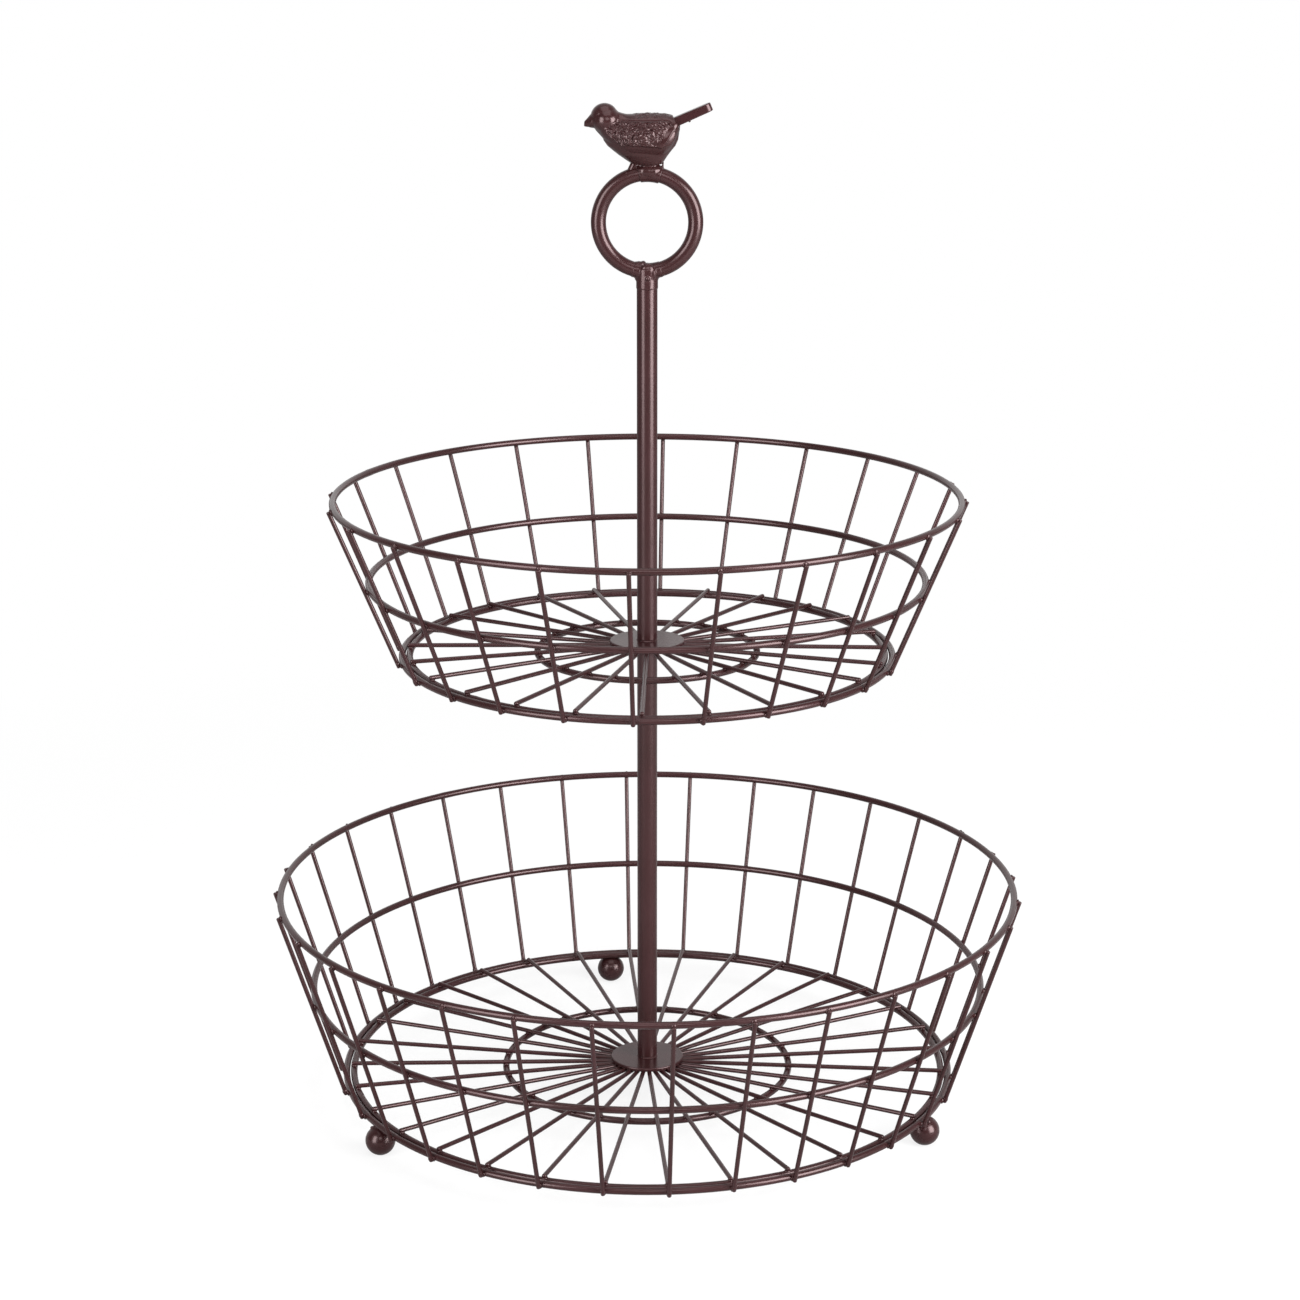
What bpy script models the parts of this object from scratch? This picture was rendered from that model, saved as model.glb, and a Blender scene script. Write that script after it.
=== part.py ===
"""Two-tier wire fruit stand: two welded wire bowls on a screwed centre pole, with a ring handle, a cast
bird on the ring and three ball feet. Metres, +Z up, origin on the floor under the pole. The bird looks
along -X, and -Y is the front."""

import math

import bmesh
import bpy
from mathutils import Matrix, Vector

MM = 0.001

# Rods, wires and clearances that both bowls share
RING_ROD_RADIUS = 1.45 * MM
WIRE_RADIUS = 0.95 * MM
SEAT_GAP = 0.3 * MM
WELD_SINK = 0.3 * MM
POLE_MERGE = 0.001 * MM

# Lower bowl: radii are of the rods' centre lines, rises are above the base ring's centre line
LOWER_FLOOR_RADIUS = 129.4 * MM
LOWER_INNER_RADIUS = 62.5 * MM
LOWER_RIM_RADIUS = 159.0 * MM
LOWER_MID_RISE = 41.0 * MM
LOWER_RIM_RISE = 82.3 * MM
LOWER_FLOOR_DIP = 3.0 * MM
LOWER_WIRE_COUNT = 32
LOWER_WIRE_TURN = math.radians(3.75)
LOWER_SPOKE_TURN = math.radians(3.75)

# Upper bowl
UPPER_FLOOR_RADIUS = 101.1 * MM
UPPER_INNER_RADIUS = 46.8 * MM
UPPER_RIM_RADIUS = 131.9 * MM
UPPER_MID_RISE = 32.5 * MM
UPPER_RIM_RISE = 67.2 * MM
UPPER_FLOOR_DIP = 0.25 * MM
UPPER_WIRE_COUNT = 24
UPPER_WIRE_TURN = math.radians(12.0)
UPPER_SPOKE_TURN = math.radians(14.0)

# Ends of the side wires and spokes, the same on both bowls
WIRE_HEAD = 1.2 * MM
WIRE_TAIL = 0.8 * MM
SPOKE_INNER_RADIUS = 11.0 * MM
SPOKE_OVERHANG = 1.2 * MM

# Hub discs
HUB_RADIUS = 15.8 * MM
HUB_THICKNESS = 1.6 * MM
HUB_EDGE_ROUND = 0.4 * MM

# Centre pole, in two lengths, with the threaded rod that joins them and the screw under the lower hub
POLE_RADIUS = 4.3 * MM
LOWER_POLE_LENGTH = 188.5 * MM
UPPER_POLE_LENGTH = 154.9 * MM
POLE_EDGE_ROUND = 0.4 * MM
STUD_RADIUS = 2.5 * MM
STUD_REACH = 11.0 * MM
STUD_POINT = 0.6 * MM
BORE_SPARE = 1.5 * MM
SCREW_REACH = 10.0 * MM
SCREW_HEAD_RADIUS = 4.6 * MM
SCREW_HEAD_HEIGHT = 2.8 * MM
SCREW_HEAD_ROUND = 1.0 * MM
WASHER_RADIUS = 8.0 * MM
WASHER_THICKNESS = 1.2 * MM

# Ring handle, set in a saddle cut across the end of the upper pole
HANDLE_RADIUS = 20.0 * MM
HANDLE_ROD_RADIUS = 3.12 * MM
HANDLE_SEAT_DEPTH = 1.25 * MM

# Post that carries the bird on the ring
POST_FOOT_RADIUS = 6.3 * MM
POST_WAIST_RADIUS = 4.6 * MM
POST_HEAD_RADIUS = 5.6 * MM
POST_HEIGHT = 4.4 * MM
POST_SEAT_DEPTH = 2.6 * MM
POST_WAIST_SHARE = 0.6

# Bird
BIRD_LENGTH = 52.9 * MM
BIRD_HEIGHT = 24.3 * MM
BIRD_WIDTH = 19.6 * MM
BIRD_POST_SHARE = 0.485

# Ball feet. Their places round the base ring are in side wires, counted on from the first one.
FOOT_RADIUS = 6.35 * MM
FOOT_FLAT_DEPTH = 0.35 * MM
FOOT_SEAT_DEPTH = 0.55 * MM
FOOT_INSET = 1.1 * MM
FOOT_WIRE_PLACES = {"back": 8.36, "left": 18.43, "right": 29.34}

# Facets. A bowl's rings have this many segments to each wire, so that a corner lies at every wire.
SEGMENTS_PER_WIRE = 2
RING_SIDES = 6
INNER_SEGMENTS = 32
WIRE_SIDES = 6
TURNED_SEGMENTS = 24
FASTENER_SEGMENTS = 18
HANDLE_SEGMENTS = 36
HANDLE_SIDES = 10
BIRD_SIDES = 16
FOOT_SEGMENTS = 16
FOOT_RINGS = 10

# The bird's outline from beak to tail tip. Each row is the place along its length, its top and its bottom
# up its height and its half width, as shares of the bird's length, height and half width.
BIRD_STATION_SHARES = (
    (0.000, 0.645, 0.580, 0.06),
    (0.040, 0.730, 0.548, 0.20),
    (0.068, 0.840, 0.515, 0.42),
    (0.108, 0.926, 0.444, 0.62),
    (0.162, 0.980, 0.322, 0.74),
    (0.220, 0.952, 0.210, 0.78),
    (0.270, 0.854, 0.140, 0.81),
    (0.316, 0.778, 0.066, 0.88),
    (0.390, 0.780, 0.006, 0.96),
    (0.478, 0.798, 0.000, 1.00),
    (0.572, 0.790, 0.006, 0.95),
    (0.642, 0.774, 0.104, 0.84),
    (0.698, 0.762, 0.268, 0.67),
    (0.735, 0.778, 0.500, 0.50),
    (0.766, 0.812, 0.624, 0.41),
    (0.875, 0.902, 0.740, 0.41),
    (0.972, 0.996, 0.840, 0.38),
    (1.000, 0.975, 0.890, 0.30),
)

# Heights of the stack, from the floor up
wireReach = RING_ROD_RADIUS + WIRE_RADIUS + SEAT_GAP
weldReach = RING_ROD_RADIUS + WIRE_RADIUS - WELD_SINK
footCentreHeight = FOOT_RADIUS - FOOT_FLAT_DEPTH
lowerBaseHeight = footCentreHeight + FOOT_RADIUS - FOOT_SEAT_DEPTH + RING_ROD_RADIUS


def base_ring_radius(floor_radius):
    """The base ring lies close round the floor ring, at the same height."""
    return floor_radius + 2 * RING_ROD_RADIUS + SEAT_GAP


def spoke_height(radius, floor_radius, dip):
    """Height of a spoke's centre line above the floor ring's, at a given radius."""
    outer = floor_radius + SPOKE_OVERHANG
    slope = dip / (outer - SPOKE_INNER_RADIUS)
    return wireReach - slope * (outer - radius)


def hub_rise(floor_radius, dip):
    """Height of the hub disc's underside above the base ring's centre line."""
    return spoke_height(HUB_RADIUS, floor_radius, dip) + WIRE_RADIUS + SEAT_GAP


lowerHubHeight = lowerBaseHeight + hub_rise(LOWER_FLOOR_RADIUS, LOWER_FLOOR_DIP)
lowerPoleHeight = lowerHubHeight + HUB_THICKNESS + SEAT_GAP
upperHubHeight = lowerPoleHeight + LOWER_POLE_LENGTH + SEAT_GAP
upperBaseHeight = upperHubHeight - hub_rise(UPPER_FLOOR_RADIUS, UPPER_FLOOR_DIP)
upperPoleHeight = upperHubHeight + HUB_THICKNESS + SEAT_GAP
handleFootHeight = upperPoleHeight + UPPER_POLE_LENGTH - HANDLE_SEAT_DEPTH + SEAT_GAP
handleCentreHeight = handleFootHeight + HANDLE_ROD_RADIUS + HANDLE_RADIUS
handleTopHeight = handleCentreHeight + HANDLE_RADIUS + HANDLE_ROD_RADIUS
postHeight = handleTopHeight - POST_SEAT_DEPTH
birdHeight = postHeight + POST_HEIGHT + SEAT_GAP


def clear_scene():
    for obj in list(bpy.data.objects):
        bpy.data.objects.remove(obj, do_unlink=True)


def coat(name, colour, roughness, metallic):
    material = bpy.data.materials.new(name)
    material.use_nodes = True
    shader = material.node_tree.nodes["Principled BSDF"]
    shader.inputs["Base Color"].default_value = (*colour, 1.0)
    shader.inputs["Roughness"].default_value = roughness
    shader.inputs["Metallic"].default_value = metallic
    material.diffuse_color = (*colour, 1.0)
    return material


def bronze(name):
    """Satin brown bronze powder coat over welded steel."""
    return coat(name + "_coat", (0.072, 0.043, 0.037), 0.42, 0.55)


def cast_bronze(name):
    """The same coat over the rougher cast metal of the bird."""
    return coat(name + "_coat", (0.066, 0.038, 0.034), 0.48, 0.5)


def zinc(name):
    """Bright zinc plate of the hidden fasteners."""
    return coat(name + "_plate", (0.55, 0.56, 0.58), 0.3, 1.0)


def empty(name, height):
    holder = bpy.data.objects.new(name, None)
    bpy.context.collection.objects.link(holder)
    holder.location = (0, 0, height)
    return holder


def place(name, bm, material, parent=None, location=(0, 0, 0), smooth=35):
    """Makes the object of a finished bmesh, with round surfaces shaded smooth."""
    bmesh.ops.recalc_face_normals(bm, faces=bm.faces)
    mesh = bpy.data.meshes.new(name)
    bm.to_mesh(mesh)
    bm.free()
    mesh.shade_smooth()
    mesh.set_sharp_from_angle(angle=math.radians(smooth))
    mesh.materials.append(material)
    obj = bpy.data.objects.new(name, mesh)
    bpy.context.collection.objects.link(obj)
    obj.location = location
    obj.parent = parent
    return obj


def helper(obj):
    """Turns an object into a hidden cutter or joiner."""
    obj.hide_render = True
    obj.display_type = "WIRE"
    return obj


def boolean(obj, other, operation):
    modifier = obj.modifiers.new(operation.lower() + "_" + other.name, "BOOLEAN")
    modifier.object = other
    modifier.operation = operation
    modifier.solver = "EXACT"


def spin(bm, profile, segments):
    """Turns a profile of (radius, height) points about the Z axis into a closed solid."""
    points = [bm.verts.new((radius, 0, height)) for radius, height in profile]
    edges = [bm.edges.new(pair) for pair in zip(points, points[1:])]
    bmesh.ops.spin(
        bm,
        geom=points + edges,
        cent=(0, 0, 0),
        axis=(0, 0, 1),
        angle=math.tau,
        steps=segments,
        use_merge=True,
    )
    bmesh.ops.remove_doubles(bm, verts=bm.verts, dist=POLE_MERGE)


def turned(name, profile, material, parent=None, height=0, segments=TURNED_SEGMENTS):
    bm = bmesh.new()
    spin(bm, profile, segments)
    return place(name, bm, material, parent, (0, 0, height))


def ring_mesh(radius, rod_radius, segments, sides, height=0, turned_by=0):
    """A round rod bent into a closed level ring."""
    bm = bmesh.new()
    section = bmesh.ops.create_circle(bm, segments=sides, radius=rod_radius)["verts"]
    turn = Matrix.Rotation(math.pi / sides, 4, "Z")
    upright = Matrix.Rotation(math.pi / 2, 4, "X")
    bmesh.ops.transform(bm, matrix=Matrix.Translation((radius, 0, height)) @ upright @ turn, verts=section)
    bmesh.ops.spin(
        bm,
        geom=bm.verts[:] + bm.edges[:],
        cent=(0, 0, 0),
        axis=(0, 0, 1),
        angle=math.tau,
        steps=segments,
        use_merge=True,
    )
    bmesh.ops.rotate(bm, cent=(0, 0, 0), matrix=Matrix.Rotation(turned_by, 3, "Z"), verts=bm.verts)
    return bm


def wire_ring(path, radius, count, turn):
    """Copies one straight wire round the pole, evenly spaced. Its ends are (radius, height) points."""
    start, end = (Vector((r, 0, z)) for r, z in path)
    along = end - start
    middle = Matrix.Translation((start + end) / 2)
    bm = bmesh.new()
    bmesh.ops.create_cone(
        bm,
        cap_ends=True,
        segments=WIRE_SIDES,
        radius1=radius,
        radius2=radius,
        depth=along.length,
        matrix=middle @ along.to_track_quat("Z", "Y").to_matrix().to_4x4(),
    )
    one = bm.verts[:] + bm.edges[:] + bm.faces[:]
    for k in range(1, count):
        copy = bmesh.ops.duplicate(bm, geom=one)["geom"]
        corners = [item for item in copy if isinstance(item, bmesh.types.BMVert)]
        step = Matrix.Rotation(math.tau * k / count, 3, "Z")
        bmesh.ops.rotate(bm, cent=(0, 0, 0), matrix=step, verts=corners)
    bmesh.ops.rotate(bm, cent=(0, 0, 0), matrix=Matrix.Rotation(turn, 3, "Z"), verts=bm.verts)
    return bm


def side_wire_path(base_radius, rim_radius, rim_rise):
    """Centre line of a straight side wire outside the rim and base rings, cut square at both ends."""
    lean = math.atan2(rim_radius - base_radius, rim_rise)
    out = Vector((math.cos(lean), -math.sin(lean)))
    up = Vector((math.sin(lean), math.cos(lean)))
    head = Vector((rim_radius, rim_rise)) + out * wireReach + up * WIRE_HEAD
    tail = Vector((base_radius, 0)) + out * wireReach - up * WIRE_TAIL
    return [tuple(head), tuple(tail)]


def mid_ring_radius(base_radius, rim_radius, rim_rise, mid_rise):
    """Radius at which the middle ring lies welded against the inner side of the leaning wires."""
    lean = math.atan2(rim_radius - base_radius, rim_rise)
    return base_radius + mid_rise * math.tan(lean) + (wireReach - weldReach) / math.cos(lean)


def basket(side, base_height, floor_radius, inner_radius, rim_radius, mid_rise, rim_rise, dip, count, turns):
    """One wire bowl, as pieces parented to an empty at its base ring's centre."""
    holder = empty(side + "_basket", base_height)
    base_radius = base_ring_radius(floor_radius)
    wire_turn, spoke_turn = turns
    segments = SEGMENTS_PER_WIRE * count

    rim = ring_mesh(rim_radius, RING_ROD_RADIUS, segments, RING_SIDES, rim_rise, wire_turn)
    place(side + "_rim_ring", rim, bronze(side + "_rim_ring"), holder)

    base = ring_mesh(base_radius, RING_ROD_RADIUS, segments, RING_SIDES, 0, spoke_turn)
    place(side + "_base_ring", base, bronze(side + "_base_ring"), holder)

    floor = ring_mesh(floor_radius, RING_ROD_RADIUS, segments, RING_SIDES, 0, spoke_turn)
    place(side + "_floor_ring", floor, bronze(side + "_floor_ring"), holder)

    mid_radius = mid_ring_radius(base_radius, rim_radius, rim_rise, mid_rise)
    mid = ring_mesh(mid_radius, RING_ROD_RADIUS, segments, RING_SIDES, mid_rise, wire_turn)
    cage = place(side + "_side_wires", mid, bronze(side + "_side_wires"), holder)
    wire_path = side_wire_path(base_radius, rim_radius, rim_rise)
    wires = wire_ring(wire_path, WIRE_RADIUS, count, wire_turn)
    boolean(cage, helper(place(side + "_wire_set", wires, bronze(side + "_wire_set"), holder)), "UNION")

    inner_height = spoke_height(inner_radius, floor_radius, dip) - weldReach
    inner = ring_mesh(inner_radius, RING_ROD_RADIUS, INNER_SEGMENTS, RING_SIDES, inner_height)
    grid = place(side + "_floor_spokes", inner, bronze(side + "_floor_spokes"), holder)
    spoke_ends = SPOKE_INNER_RADIUS, floor_radius + SPOKE_OVERHANG
    spoke_path = [(radius, spoke_height(radius, floor_radius, dip)) for radius in spoke_ends]
    spokes = wire_ring(spoke_path, WIRE_RADIUS, count, spoke_turn)
    boolean(grid, helper(place(side + "_spoke_set", spokes, bronze(side + "_spoke_set"), holder)), "UNION")

    hub_disc(side + "_hub_disc", holder, hub_rise(floor_radius, dip))
    return holder


def hub_disc(name, holder, height):
    hole = STUD_RADIUS + SEAT_GAP
    profile = [
        (hole, 0),
        (HUB_RADIUS - HUB_EDGE_ROUND, 0),
        (HUB_RADIUS, HUB_EDGE_ROUND),
        (HUB_RADIUS, HUB_THICKNESS - HUB_EDGE_ROUND),
        (HUB_RADIUS - HUB_EDGE_ROUND, HUB_THICKNESS),
        (hole, HUB_THICKNESS),
        (hole, 0),
    ]
    turned(name, profile, bronze(name), holder, height)


def pole_profile(length, bottom_bore, top_bore):
    """Half section of a pole length, with a blind tapped bore in one or both ends."""
    bore = STUD_RADIUS + SEAT_GAP
    edge = POLE_EDGE_ROUND
    profile = [(0, bottom_bore), (bore, bottom_bore), (bore, 0)]
    profile += [(POLE_RADIUS - edge, 0), (POLE_RADIUS, edge)]
    if not top_bore:
        return profile + [(POLE_RADIUS, length), (0, length)]
    profile += [(POLE_RADIUS, length - edge), (POLE_RADIUS - edge, length)]
    return profile + [(bore, length), (bore, length - top_bore), (0, length - top_bore)]


def lower_pole():
    bores = SCREW_REACH + BORE_SPARE, STUD_REACH + BORE_SPARE
    profile = pole_profile(LOWER_POLE_LENGTH, *bores)
    turned("lower_pole", profile, bronze("lower_pole"), height=lowerPoleHeight)


def upper_pole():
    """The upper length, with a saddle across its end that the handle ring lies in."""
    profile = pole_profile(UPPER_POLE_LENGTH, STUD_REACH + BORE_SPARE, 0)
    pole = turned("upper_pole", profile, bronze("upper_pole"), height=upperPoleHeight)
    boolean(pole, handle_cutter(), "DIFFERENCE")


def pole_stud():
    """Threaded rod, with its thread left plain, that joins the poles through the upper hub disc."""
    middle = upperHubHeight + HUB_THICKNESS / 2
    reach = STUD_REACH + HUB_THICKNESS / 2
    tip = STUD_RADIUS - STUD_POINT
    profile = [(0, -reach), (tip, -reach), (STUD_RADIUS, -reach + STUD_POINT)]
    profile += [(STUD_RADIUS, reach - STUD_POINT), (tip, reach), (0, reach)]
    turned("pole_stud", profile, zinc("pole_stud"), height=middle, segments=FASTENER_SEGMENTS)


def foot_washer():
    hole = STUD_RADIUS + SEAT_GAP
    top = -SEAT_GAP
    bottom = top - WASHER_THICKNESS
    profile = [(hole, bottom), (WASHER_RADIUS, bottom), (WASHER_RADIUS, top), (hole, top), (hole, bottom)]
    turned("hub_washer", profile, zinc("hub_washer"), height=lowerHubHeight)


def foot_screw():
    """Pan-head screw that draws the lower hub disc up against the pole."""
    seat = -2 * SEAT_GAP - WASHER_THICKNESS
    head = seat - SCREW_HEAD_HEIGHT
    tip = HUB_THICKNESS + SEAT_GAP + SCREW_REACH
    edge = SCREW_HEAD_ROUND
    profile = [
        (0, head),
        (SCREW_HEAD_RADIUS - edge, head),
        (SCREW_HEAD_RADIUS, head + edge),
        (SCREW_HEAD_RADIUS, seat),
        (STUD_RADIUS, seat),
        (STUD_RADIUS, tip - STUD_POINT),
        (STUD_RADIUS - STUD_POINT, tip),
        (0, tip),
    ]
    turned("hub_screw", profile, zinc("hub_screw"), height=lowerHubHeight, segments=FASTENER_SEGMENTS)


def upright_ring(rod_radius, segments, sides):
    """The handle's ring, turned up to face the front."""
    bm = ring_mesh(HANDLE_RADIUS, rod_radius, segments, sides)
    bmesh.ops.rotate(bm, cent=(0, 0, 0), matrix=Matrix.Rotation(math.pi / 2, 3, "X"), verts=bm.verts)
    return bm


def handle_cutter():
    """The handle's ring, wider by the seat gap, which cuts the saddles in the pole and in the bird's post."""
    known = bpy.data.objects.get("handle_saddle")
    if known:
        return known
    bm = upright_ring(HANDLE_ROD_RADIUS + SEAT_GAP, HANDLE_SEGMENTS, HANDLE_SIDES)
    centre = (0, 0, handleCentreHeight)
    return helper(place("handle_saddle", bm, bronze("handle_saddle"), location=centre))


def handle_ring():
    bm = upright_ring(HANDLE_ROD_RADIUS, HANDLE_SEGMENTS, HANDLE_SIDES)
    place("handle_ring", bm, bronze("handle_ring"), location=(0, 0, handleCentreHeight))


def bird_post():
    """Short waisted post, saddled over the ring, that the bird stands on."""
    profile = [
        (0, 0),
        (POST_FOOT_RADIUS, 0),
        (POST_WAIST_RADIUS, POST_HEIGHT * POST_WAIST_SHARE),
        (POST_HEAD_RADIUS, POST_HEIGHT),
        (0, POST_HEIGHT),
    ]
    post = turned("bird_post", profile, cast_bronze("bird_post"), height=postHeight)
    boolean(post, handle_cutter(), "DIFFERENCE")


def bird_finial():
    """Small perched bird, lofted through upright oval sections from its beak to its tail tip."""
    bm = bmesh.new()
    start = -BIRD_POST_SHARE * BIRD_LENGTH
    loops = []
    for along, top, bottom, wide in BIRD_STATION_SHARES:
        middle = BIRD_HEIGHT * (top + bottom) / 2
        half_height = BIRD_HEIGHT * (top - bottom) / 2
        half_width = BIRD_WIDTH / 2 * wide
        angles = [math.tau * (k + 0.5) / BIRD_SIDES for k in range(BIRD_SIDES)]
        loops.append(
            [
                bm.verts.new(
                    (
                        start + BIRD_LENGTH * along,
                        half_width * math.cos(angle),
                        middle + half_height * math.sin(angle),
                    )
                )
                for angle in angles
            ]
        )
    for first, second in zip(loops, loops[1:]):
        for k in range(BIRD_SIDES):
            bm.faces.new((first[k - 1], first[k], second[k], second[k - 1]))
    bm.faces.new(loops[0])
    bm.faces.new(reversed(loops[-1]))
    place("bird_finial", bm, cast_bronze("bird_finial"), location=(0, 0, birdHeight), smooth=60)


def foot_mesh():
    """A solid ball with a small flat ground on its underside, centred on its own middle."""
    bm = bmesh.new()
    bmesh.ops.create_uvsphere(bm, u_segments=FOOT_SEGMENTS, v_segments=FOOT_RINGS, radius=FOOT_RADIUS)
    flat = Vector((0, 0, FOOT_FLAT_DEPTH - FOOT_RADIUS))
    cut = bmesh.ops.bisect_plane(
        bm,
        geom=bm.verts[:] + bm.edges[:] + bm.faces[:],
        plane_co=flat,
        plane_no=(0, 0, -1),
        clear_outer=True,
    )
    rim = [item for item in cut["geom_cut"] if isinstance(item, bmesh.types.BMEdge)]
    bmesh.ops.contextual_create(bm, geom=rim)
    return bm


def feet(lower):
    """Three balls under the lower bowl's base and floor rings, let into both from below."""
    base_radius = base_ring_radius(LOWER_FLOOR_RADIUS)
    segments = SEGMENTS_PER_WIRE * LOWER_WIRE_COUNT
    grooves = []
    for name, radius in (("base_groove", base_radius), ("floor_groove", LOWER_FLOOR_RADIUS)):
        groove = ring_mesh(radius, RING_ROD_RADIUS + SEAT_GAP, segments, RING_SIDES, 0, LOWER_SPOKE_TURN)
        grooves.append(helper(place(name, groove, bronze(name), lower)))
    reach = base_radius - FOOT_INSET
    for side, wires in FOOT_WIRE_PLACES.items():
        angle = LOWER_WIRE_TURN + math.tau / LOWER_WIRE_COUNT * wires
        name = "ball_foot_" + side
        spot = (reach * math.cos(angle), reach * math.sin(angle), footCentreHeight)
        foot = place(name, foot_mesh(), bronze(name), location=spot)
        for groove in grooves:
            boolean(foot, groove, "DIFFERENCE")


def main():
    clear_scene()
    lower = basket(
        "lower",
        lowerBaseHeight,
        LOWER_FLOOR_RADIUS,
        LOWER_INNER_RADIUS,
        LOWER_RIM_RADIUS,
        LOWER_MID_RISE,
        LOWER_RIM_RISE,
        LOWER_FLOOR_DIP,
        LOWER_WIRE_COUNT,
        (LOWER_WIRE_TURN, LOWER_SPOKE_TURN),
    )
    basket(
        "upper",
        upperBaseHeight,
        UPPER_FLOOR_RADIUS,
        UPPER_INNER_RADIUS,
        UPPER_RIM_RADIUS,
        UPPER_MID_RISE,
        UPPER_RIM_RISE,
        UPPER_FLOOR_DIP,
        UPPER_WIRE_COUNT,
        (UPPER_WIRE_TURN, UPPER_SPOKE_TURN),
    )
    lower_pole()
    upper_pole()
    pole_stud()
    foot_washer()
    foot_screw()
    handle_ring()
    bird_post()
    bird_finial()
    feet(lower)


main()
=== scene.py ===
# Looks of a two-tier wire fruit stand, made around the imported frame. Metres, +Z up, -Y is the front.
import math
import random

import bmesh
import bpy
from mathutils import Matrix, Vector, noise


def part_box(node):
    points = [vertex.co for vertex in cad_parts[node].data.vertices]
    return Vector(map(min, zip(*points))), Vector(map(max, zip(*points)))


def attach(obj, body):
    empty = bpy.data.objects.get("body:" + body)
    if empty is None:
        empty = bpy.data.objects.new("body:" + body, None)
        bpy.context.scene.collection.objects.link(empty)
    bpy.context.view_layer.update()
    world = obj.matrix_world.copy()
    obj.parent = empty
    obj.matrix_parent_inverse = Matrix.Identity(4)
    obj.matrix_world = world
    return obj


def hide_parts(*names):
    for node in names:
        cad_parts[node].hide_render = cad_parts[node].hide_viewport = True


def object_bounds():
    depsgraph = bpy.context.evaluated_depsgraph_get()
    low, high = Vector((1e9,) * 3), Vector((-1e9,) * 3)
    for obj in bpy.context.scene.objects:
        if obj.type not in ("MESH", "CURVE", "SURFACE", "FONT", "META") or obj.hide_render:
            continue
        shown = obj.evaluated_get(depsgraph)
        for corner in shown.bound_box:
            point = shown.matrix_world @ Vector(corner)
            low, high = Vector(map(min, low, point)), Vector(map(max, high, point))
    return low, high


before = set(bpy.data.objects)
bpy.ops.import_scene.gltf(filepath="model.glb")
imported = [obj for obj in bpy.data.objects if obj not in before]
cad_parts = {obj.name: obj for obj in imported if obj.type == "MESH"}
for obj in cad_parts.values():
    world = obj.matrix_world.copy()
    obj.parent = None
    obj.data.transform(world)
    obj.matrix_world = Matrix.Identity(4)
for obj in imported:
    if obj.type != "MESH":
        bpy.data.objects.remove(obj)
cadLow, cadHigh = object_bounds()
mm = 0.001
upAxis = Vector((0, 0, 1))
closeBy = 0.001 * mm           # points nearer to each other than this are one point
squareEdge = math.radians(60)  # edges that turn more than this are rounded
roundingSteps = 3


# Tools that every piece uses
def linear(code):  # sRGB hex to a linear colour with alpha
    parts = [int(code[i:i + 2], 16) / 255 for i in (1, 3, 5)]
    return [*(p / 12.92 if p <= 0.04045 else ((p + 0.055) / 1.055) ** 2.4 for p in parts), 1.0]


def addNode(tree, kind, values=None, links=None, **settings):
    made = tree.nodes.new(kind)
    for name, value in settings.items():
        setattr(made, name, value)
    for name, value in (values or {}).items():
        made.inputs[name].default_value = value
    for name, socket in (links or {}).items():
        tree.links.new(socket, made.inputs[name])
    return made


def finishPiece(name, bm, material, standsFor=(), sharpAngle=40):
    bmesh.ops.recalc_face_normals(bm, faces=bm.faces)
    for edge in bm.edges:
        if edge.calc_face_angle(0) > math.radians(sharpAngle):
            edge.smooth = False
    mesh = bpy.data.meshes.new(name)
    bm.to_mesh(mesh)
    bm.free()
    mesh.shade_smooth()
    mesh.materials.append(material)
    piece = bpy.data.objects.new(name, mesh)
    bpy.context.scene.collection.objects.link(piece)
    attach(piece, "root")
    if standsFor:
        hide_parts(*standsFor)


def polar(radius, angle, height):
    return Vector((radius * math.cos(angle), radius * math.sin(angle), height))


def axesAt(spot, first, second):  # a matrix at a spot, with its X and Y along two square directions
    x = first.normalized()
    y = (second - x * second.dot(x)).normalized()
    turn = Matrix((x, y, x.cross(y))).transposed()
    return Matrix.Translation(spot) @ turn.to_4x4()


def alongAt(spot, way):  # a matrix at a spot, with its Z along a direction
    return Matrix.Translation(spot) @ way.to_track_quat("Z", "Y").to_matrix().to_4x4()


def stretch(x, y, z):
    return Matrix.Diagonal((x, y, z, 1))


def addBall(bm, matrix, size, across=12, down=8):
    fit = matrix @ stretch(*size)
    bmesh.ops.create_uvsphere(bm, u_segments=across, v_segments=down, radius=1, matrix=fit)


def addLump(bm, place, size, facets=(12, 8), base=Matrix.Identity(4)):  # a ball given in millimetres
    addBall(bm, base @ Matrix.Translation(Vector(place) * mm), [half * mm for half in size], *facets)


def addRod(bm, start, end, radius, sides, endRadius=None):
    bmesh.ops.create_cone(
        bm, cap_ends=True, segments=sides, radius1=radius, radius2=endRadius or radius,
        depth=(end - start).length, matrix=alongAt((start + end) / 2, end - start),
    )


def closeHoles(bm):
    bmesh.ops.holes_fill(bm, edges=[edge for edge in bm.edges if edge.is_boundary])


def cutAway(bm, spot, way):  # takes off all that lies past a plane
    everything = bm.verts[:] + bm.edges[:] + bm.faces[:]
    bmesh.ops.bisect_plane(bm, geom=everything, plane_co=spot, plane_no=way, clear_outer=True)
    closeHoles(bm)


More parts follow.
